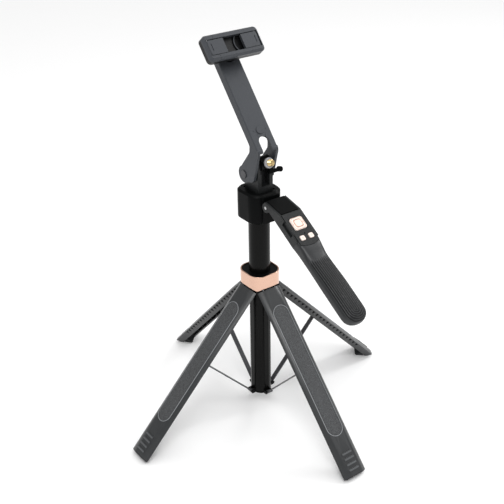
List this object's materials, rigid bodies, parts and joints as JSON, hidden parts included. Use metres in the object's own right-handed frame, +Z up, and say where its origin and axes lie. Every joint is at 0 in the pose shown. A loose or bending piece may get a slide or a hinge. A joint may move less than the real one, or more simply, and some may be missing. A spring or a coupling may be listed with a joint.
{
  "type": "selfie stick",
  "caption": "Telescopic selfie stick standing on folding legs, with a leaning arm, swivelling phone clamp, camera screw and a grip with a detachable remote.",
  "frame": {"origin": "on the mast's axis at the floor, under the middle of the open legs", "axes": "+Z up along the mast; -Y to the front, where the handle hangs out; +X to the right of the clamp seen from the front"},
  "size_m": [0.3174, 0.3174, 0.4069],
  "materials": {
    "charcoal_plastic": "fine satin grain",
    "black_plastic": "satin",
    "gloss_black": "gloss",
    "rose_gold": "polished",
    "steel": "plain",
    "black_steel": "satin",
    "brass": "machined",
    "grey_plastic": "satin",
    "textured_pad": "leather-like grain",
    "foot_rubber": "matt",
    "grip_rubber": "soft matt",
    "pearl_plastic": "pearl gloss",
    "circuit_board": "solder mask"
  },
  "bodies": {
    "hub": {"hub_core": "black_plastic", "hub_ring": "rose_gold", "leg_hinge_pins": "steel"},
    "mast": {"mast_tube": "gloss_black", "mast_foot": "black_plastic"},
    "section_1": {"section_tube_1": "gloss_black", "guide_bushing_1": "grey_plastic"},
    "section_2": {"section_tube_2": "gloss_black", "guide_bushing_2": "grey_plastic"},
    "section_3": {"section_tube_3": "gloss_black", "guide_bushing_3": "grey_plastic"},
    "head": {"section_tube_4": "gloss_black", "guide_bushing_4": "grey_plastic", "collar": "black_plastic", "bracket_block": "black_plastic", "arm_pin": "black_steel", "barrel_pin": "steel", "handle_pin": "steel"},
    "leg_left_body": {"leg_left": "charcoal_plastic", "leg_pad_left": "textured_pad", "leg_foot_left": "foot_rubber"},
    "strut_left_body": {"strut_left": "black_steel"},
    "leg_front_body": {"leg_front": "charcoal_plastic", "leg_pad_front": "textured_pad", "leg_foot_front": "foot_rubber"},
    "strut_front_body": {"strut_front": "black_steel"},
    "leg_right_body": {"leg_right": "charcoal_plastic", "leg_pad_right": "textured_pad", "leg_foot_right": "foot_rubber"},
    "strut_right_body": {"strut_right": "black_steel"},
    "leg_back_body": {"leg_back": "charcoal_plastic", "leg_pad_back": "textured_pad", "leg_foot_back": "foot_rubber"},
    "strut_back_body": {"strut_back": "black_steel"},
    "arm": {"arm_channel": "charcoal_plastic", "arm_button": "charcoal_plastic", "swivel_base": "black_plastic"},
    "barrel": {"tilt_barrel": "black_plastic"},
    "screw": {"camera_screw": "brass", "screw_ring": "grey_plastic"},
    "clamp": {"clamp_frame": "charcoal_plastic", "clamp_back": "black_plastic", "clamp_spring": "steel", "jaw_pin_right": "steel"},
    "slider": {"clamp_slider": "charcoal_plastic", "clamp_rods": "steel", "jaw_pin_left": "steel"},
    "left_jaw": {"jaw_left": "charcoal_plastic"},
    "right_jaw": {"jaw_right": "charcoal_plastic"},
    "handle": {"handle_body": "black_plastic", "handle_hood": "black_plastic", "rubber_grip": "grip_rubber"},
    "remote": {"remote_case": "black_plastic", "remote_board": "circuit_board", "coin_cell": "steel"},
    "nav": {"nav_pad": "pearl_plastic"},
    "ok": {"ok_button": "pearl_plastic"},
    "left_key": {"key_left": "pearl_plastic"},
    "right_key": {"key_right": "pearl_plastic"}
  },
  "joints": [
    {"name": "mast_slide", "type": "slide", "parent": "hub", "child": "mast", "axis": [0, 0, -1], "range_m": [0, 0.0497]},
    {"name": "leg_left_fold", "type": "hinge", "parent": "hub", "child": "leg_left_body", "pos_m": [-0.0139, 0, 0.15278], "axis": [0, -1, 0], "range_deg": [0, 43.4]},
    {"name": "strut_left_fold", "type": "hinge", "parent": "leg_left_body", "child": "strut_left_body", "pos_m": [-0.07635, 0, 0.08675], "axis": [0, 1, 0], "range_deg": [0, 86.8]},
    {"name": "leg_front_fold", "type": "hinge", "parent": "hub", "child": "leg_front_body", "pos_m": [0, -0.0139, 0.15278], "axis": [1, 0, 0], "range_deg": [0, 43.4]},
    {"name": "strut_front_fold", "type": "hinge", "parent": "leg_front_body", "child": "strut_front_body", "pos_m": [0, -0.07635, 0.08675], "axis": [-1, 0, 0], "range_deg": [0, 86.8]},
    {"name": "leg_right_fold", "type": "hinge", "parent": "hub", "child": "leg_right_body", "pos_m": [0.0139, 0, 0.15278], "axis": [0, 1, 0], "range_deg": [0, 43.4]},
    {"name": "strut_right_fold", "type": "hinge", "parent": "leg_right_body", "child": "strut_right_body", "pos_m": [0.07635, 0, 0.08675], "axis": [0, -1, 0], "range_deg": [0, 86.8]},
    {"name": "leg_back_fold", "type": "hinge", "parent": "hub", "child": "leg_back_body", "pos_m": [0, 0.0139, 0.15278], "axis": [-1, 0, 0], "range_deg": [0, 43.4]},
    {"name": "strut_back_fold", "type": "hinge", "parent": "leg_back_body", "child": "strut_back_body", "pos_m": [0, 0.07635, 0.08675], "axis": [1, 0, 0], "range_deg": [0, 86.8]},
    {"name": "section_1_slide", "type": "slide", "parent": "mast", "child": "section_1", "axis": [0, 0, 1], "range_m": [0, 0.17]},
    {"name": "section_2_slide", "type": "slide", "parent": "section_1", "child": "section_2", "axis": [0, 0, 1], "range_m": [0, 0.17]},
    {"name": "section_3_slide", "type": "slide", "parent": "section_2", "child": "section_3", "axis": [0, 0, 1], "range_m": [0, 0.17]},
    {"name": "section_4_slide", "type": "slide", "parent": "section_3", "child": "head", "axis": [0, 0, 1], "range_m": [0, 0.17]},
    {"name": "handle_fold", "type": "hinge", "parent": "head", "child": "handle", "pos_m": [0, -0.0279, 0.25371], "axis": [1, 0, 0], "range_deg": [-32.5, 40]},
    {"name": "remote_lift", "type": "slide", "parent": "handle", "child": "remote", "axis": [0, -0.5373, 0.8434], "range_m": [0, 0.012]},
    {"name": "nav_press", "type": "slide", "parent": "remote", "child": "nav", "axis": [0, 0.5373, -0.8434], "range_m": [0, 0.0006], "stiffness_N_per_m": 400, "springref_m": -0.0005},
    {"name": "ok_press", "type": "slide", "parent": "remote", "child": "ok", "axis": [0, 0.5373, -0.8434], "range_m": [0, 0.0008], "stiffness_N_per_m": 400, "springref_m": -0.0005},
    {"name": "left_key_press", "type": "slide", "parent": "remote", "child": "left_key", "axis": [0, 0.5373, -0.8434], "range_m": [0, 0.0006], "stiffness_N_per_m": 400, "springref_m": -0.0005},
    {"name": "right_key_press", "type": "slide", "parent": "remote", "child": "right_key", "axis": [0, 0.5373, -0.8434], "range_m": [0, 0.0006], "stiffness_N_per_m": 400, "springref_m": -0.0005},
    {"name": "arm_fold", "type": "hinge", "parent": "head", "child": "arm", "pos_m": [0, 0.0074, 0.27691], "axis": [-1, 0, 0], "range_deg": [-6, 140]},
    {"name": "screw_tilt", "type": "hinge", "parent": "head", "child": "barrel", "pos_m": [0, -0.0075, 0.29061], "axis": [-1, 0, 0], "range_deg": [0, 60]},
    {"name": "screw_turn", "type": "hinge", "parent": "barrel", "child": "screw", "pos_m": [0, -0.01796, 0.29401], "axis": [0, -0.9511, 0.309], "continuous": true},
    {"name": "clamp_swivel", "type": "hinge", "parent": "arm", "child": "clamp", "pos_m": [0, 0.03539, 0.39833], "axis": [0, -0.7649, 0.6441], "continuous": true},
    {"name": "clamp_slide", "type": "slide", "parent": "clamp", "child": "slider", "axis": [-1, 0, 0], "range_m": [0, 0.034], "stiffness_N_per_m": 120, "springref_m": -0.02},
    {"name": "left_jaw_flip", "type": "hinge", "parent": "slider", "child": "left_jaw", "pos_m": [-0.0272, 0.03692, 0.39704], "axis": [0, -0.6441, -0.7649], "range_deg": [0, 90]},
    {"name": "right_jaw_flip", "type": "hinge", "parent": "clamp", "child": "right_jaw", "pos_m": [0.0272, 0.03692, 0.39704], "axis": [0, 0.6441, 0.7649], "range_deg": [0, 90]}
  ],
  "couplings": [
    {"joint": "leg_left_fold", "follows": "mast_slide", "rad_per_m": 15.241},
    {"joint": "strut_left_fold", "follows": "mast_slide", "rad_per_m": 30.482},
    {"joint": "leg_front_fold", "follows": "mast_slide", "rad_per_m": 15.241},
    {"joint": "strut_front_fold", "follows": "mast_slide", "rad_per_m": 30.482},
    {"joint": "leg_right_fold", "follows": "mast_slide", "rad_per_m": 15.241},
    {"joint": "strut_right_fold", "follows": "mast_slide", "rad_per_m": 30.482},
    {"joint": "leg_back_fold", "follows": "mast_slide", "rad_per_m": 15.241},
    {"joint": "strut_back_fold", "follows": "mast_slide", "rad_per_m": 30.482}
  ]
}
